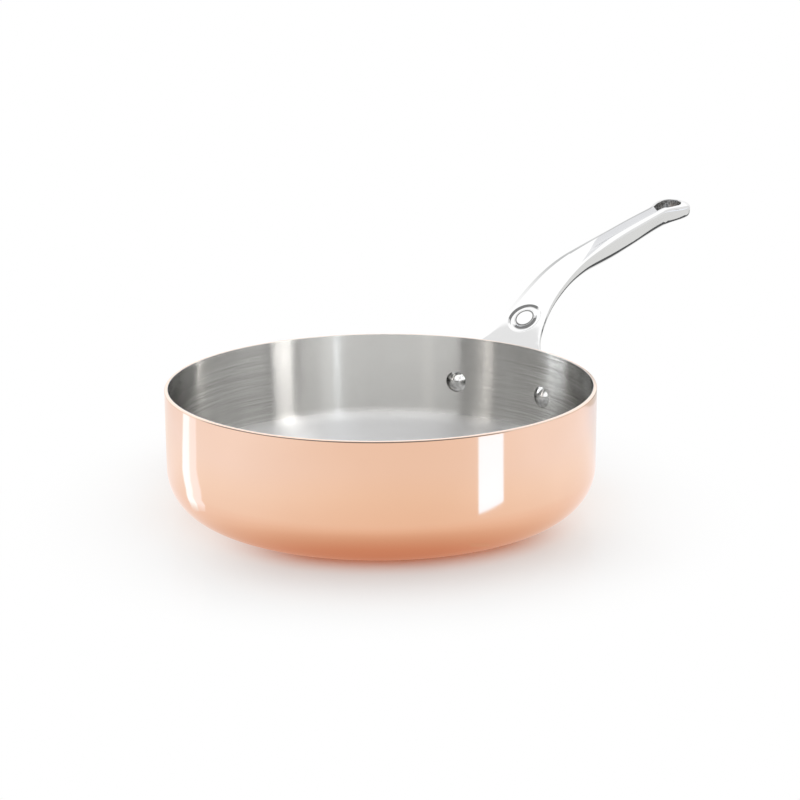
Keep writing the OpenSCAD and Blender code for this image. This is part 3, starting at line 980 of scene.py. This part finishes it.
# Upright lamps for the lining: azimuth to the right of the camera and half angle in degrees, low and high edge in
# metres, strength and colour
linerLamps = {
    "wideRight": (60.5, 6.2, 0.12, 1.6, 6.0, (1.0, 0.985, 0.97)),
    "wideLeft": (-121, 9, 0.12, 1.3, 4.6, (0.94, 0.97, 1.0)),
    "thinLeft": (-67, 3.0, 0.12, 1.6, 3.4, (1.0, 0.95, 0.9)),
    "thinRight": (125, 2.6, 0.12, 1.3, 6.0, (1.0, 0.96, 0.92)),
    "thinFront": (26.5, 1.3, 0.12, 1.6, 3.4, (0.86, 0.93, 1.0)),
    "front": (0, 48, 0.12, 1.9, 1.8, (1.0, 1.0, 1.0)),
}


def addFloor(look):
    # The camera sees the pan's shadow clear to white; metal sees a painted shadow and glow by place
    deselectAll()
    bpy.ops.mesh.primitive_plane_add(size=look["size"] * mm, location=(0, 0, 0))
    floor = bpy.context.object
    floor.name = "floor"
    finish = Finish("floorWhite", Base_Color=(look["shade"],) * 3, Roughness=look["roughness"], IOR=look["ior"],
                    Emission_Strength=1.0)
    x, y = finish.place().parts()[:2]
    reach = (x * x + y * y) ** 0.5

    def facing(angle):
        # The cosine of the angle between a floor point and a direction
        a = math.radians(angle)
        return (x * math.cos(a) + y * math.sin(a)) / reach

    def beyond(places):
        low, high = places
        return reach.ramp(low * mm, high * mm)

    front, right = facing(look["front"]), facing(look["right"])
    far = look["tint"][-1][0] * mm
    # What metal sees: a painted shadow, warm with copper's painted glow, under the pan
    seen = finish.add("ShaderNodeValToRGB", {"stops": [(r * mm / far, colour) for r, colour in look["tint"]]},
                      {"Fac": (reach + right * right * (look["tintShift"] * mm)) / far})
    # Painted paler light at the sides, and painted shade, less light, towards the right
    side = (1 - front).ramp(*look["sideFades"][0]) * front.ramp(*look["sideFades"][1])
    paler = finish.mixed(1.0, (1, 1, 1), finish.mixed(side, (0, 0, 0), look["sideTint"]), "ADD")
    away = right.ramp(*look["awayFades"][0]) * (1 - front.ramp(*look["awayFades"][1]))
    mirrored = finish.glow(finish.mixed(1.0, seen, paler, "MULTIPLY"), look["strength"] - away * look["awayLess"])

    # A painted warm glow on the floor, where copper's corner nears it, stands for the light that copper throws there
    warm = 1 - beyond(look["warmReach"])
    finish.set("Emission_Color", finish.mixed(warm, (0, 0, 0), look["warmth"]))
    lift = (1 - (front * front).ramp(*look["liftFade"])) * look["sideLift"]
    # Near the pan the camera sees a painted warm blush: copper's light, painted on the floor
    white = finish.glow(finish.mixed(beyond(look["blushReach"]), look["blush"], (1, 1, 1)), 1.0)
    camera = finish.add("ShaderNodeLightPath", output="Is Camera Ray")
    glossy = finish.add("ShaderNodeLightPath", output="Is Glossy Ray")
    plain = Flow(finish.tree, finish.shader.outputs["BSDF"])
    shown = finish.blended(either(beyond(look["clearReach"]), lift) * camera, plain, white)
    finish.show(finish.blended(glossy, shown, mirrored))
    floor.data.materials.append(finish.material)


def addWorld(look):
    # Camera rays see white and the floor an even sky. Metal sees a white sheet on the far side, grey walls beside it
    # and a dark corner behind the pan
    world = bpy.data.worlds.new("studio")
    bpy.context.scene.world = world
    world.use_nodes = True
    tree = world.node_tree
    seen = addNode(tree, "ShaderNodeLightPath", output="Is Camera Ray")
    mirrored = addNode(tree, "ShaderNodeLightPath", output="Is Glossy Ray")
    x, y, z = addNode(tree, "ShaderNodeTexCoord").parts()
    turn = y.maths("ARCTAN2", y, x) * (180 / math.pi)
    rise = z.maths("ARCSINE", z) * (180 / math.pi)
    middle, upper = rise.ramp(*look["earsRise"]), rise.ramp(*look["upperRise"])
    sheet = turn.window(*look["sheet"]) * rise.ramp(*look["sheetRise"])
    sheet = either(sheet, turn.window(*look["upperSheet"]) * upper)
    ears = turn.window(*look["ears"]) * (1 - upper) * middle
    behind = either(turn.ramp(*look["behindLeft"]), 1 - turn.ramp(*look["behindRight"]))
    beside = turn.ramp(*look["beside"]) * (1 - middle)
    dark = either(either(behind, beside), rise.ramp(*look["zenithRise"]) * look["zenithShare"])
    metal = look["grey"] + sheet * (look["white"] - look["grey"]) + ears * (look["earGrey"] - look["grey"])
    metal = metal * (1 - dark) + dark * look["dark"]
    background = tree.nodes["Background"]
    setSocket(background.inputs["Strength"], seen + mirrored * metal + (1 - seen) * (1 - mirrored) * look["forFloor"])
    setSocket(background.inputs["Color"], (1, 1, 1))


def addCard(name, corners, height, colour, strength, fade):
    # A flat glowing card that shows only in reflections and only from above
    deselectAll()
    bpy.ops.mesh.primitive_circle_add(vertices=len(corners), radius=10 * mm, fill_type="NGON")
    card = bpy.context.object
    card.name = name
    for vertex, (x, y) in zip(card.data.vertices, corners):
        vertex.co = (x * mm, y * mm, height * mm)
    card.data.update()
    if card.data.polygons[0].normal.z < 0:
        card.data.flip_normals()
    finish = Finish(name)
    hidden = finish.add("ShaderNodeNewGeometry", output="Backfacing")
    if fade:
        x, y = finish.place().parts()[:2]
        hidden = either(hidden, 1 - ((x * x + y * y) ** 0.5).ramp(fade[0] * mm, fade[1] * mm))
    clear = finish.add("ShaderNodeBsdfTransparent")
    finish.show(finish.blended(hidden, finish.glow(colour, strength), clear))
    card.data.materials.append(finish.material)
    card.visible_camera = card.visible_diffuse = card.visible_shadow = False


def addLamp(name, azimuth, halfAngle, low, high, strength, colour, lit, distance=1.1):
    # Stands upright at an angle to the right of the camera, facing the pan, and lights only the given pieces
    data = bpy.data.lights.new(name, "AREA")
    data.shape = "RECTANGLE"
    data.size = 2 * distance * math.tan(math.radians(halfAngle))
    data.size_y = high - low
    data.color = colour
    data.energy = strength * math.pi * data.size * data.size_y
    lamp = bpy.data.objects.new(name, data)
    bpy.context.scene.collection.objects.link(lamp)
    camera = bpy.context.scene.camera.matrix_world.translation
    around = math.atan2(camera.y, camera.x) + math.radians(azimuth)
    lamp.location = (distance * math.cos(around), distance * math.sin(around), (low + high) / 2)
    facing = Vector((-math.cos(around), -math.sin(around), 0))
    lamp.rotation_mode = "QUATERNION"
    lamp.rotation_quaternion = facing.to_track_quat("-Z", "Y")
    lamp.visible_camera = False
    lamp.light_linking.receiver_collection = lit


addFloor(floorLook)
addWorld(skyLook)
for name, card in cards.items():
    addCard(name, *card)
lit = bpy.data.collections.new("litByLamps")
for name in ("steelLining", "rivetPair"):
    lit.objects.link(bpy.data.objects[name])
for name, lamp in linerLamps.items():
    addLamp(name, *lamp, lit)
print("studio lit")

bpy.context.scene.view_settings.view_transform = "Standard"
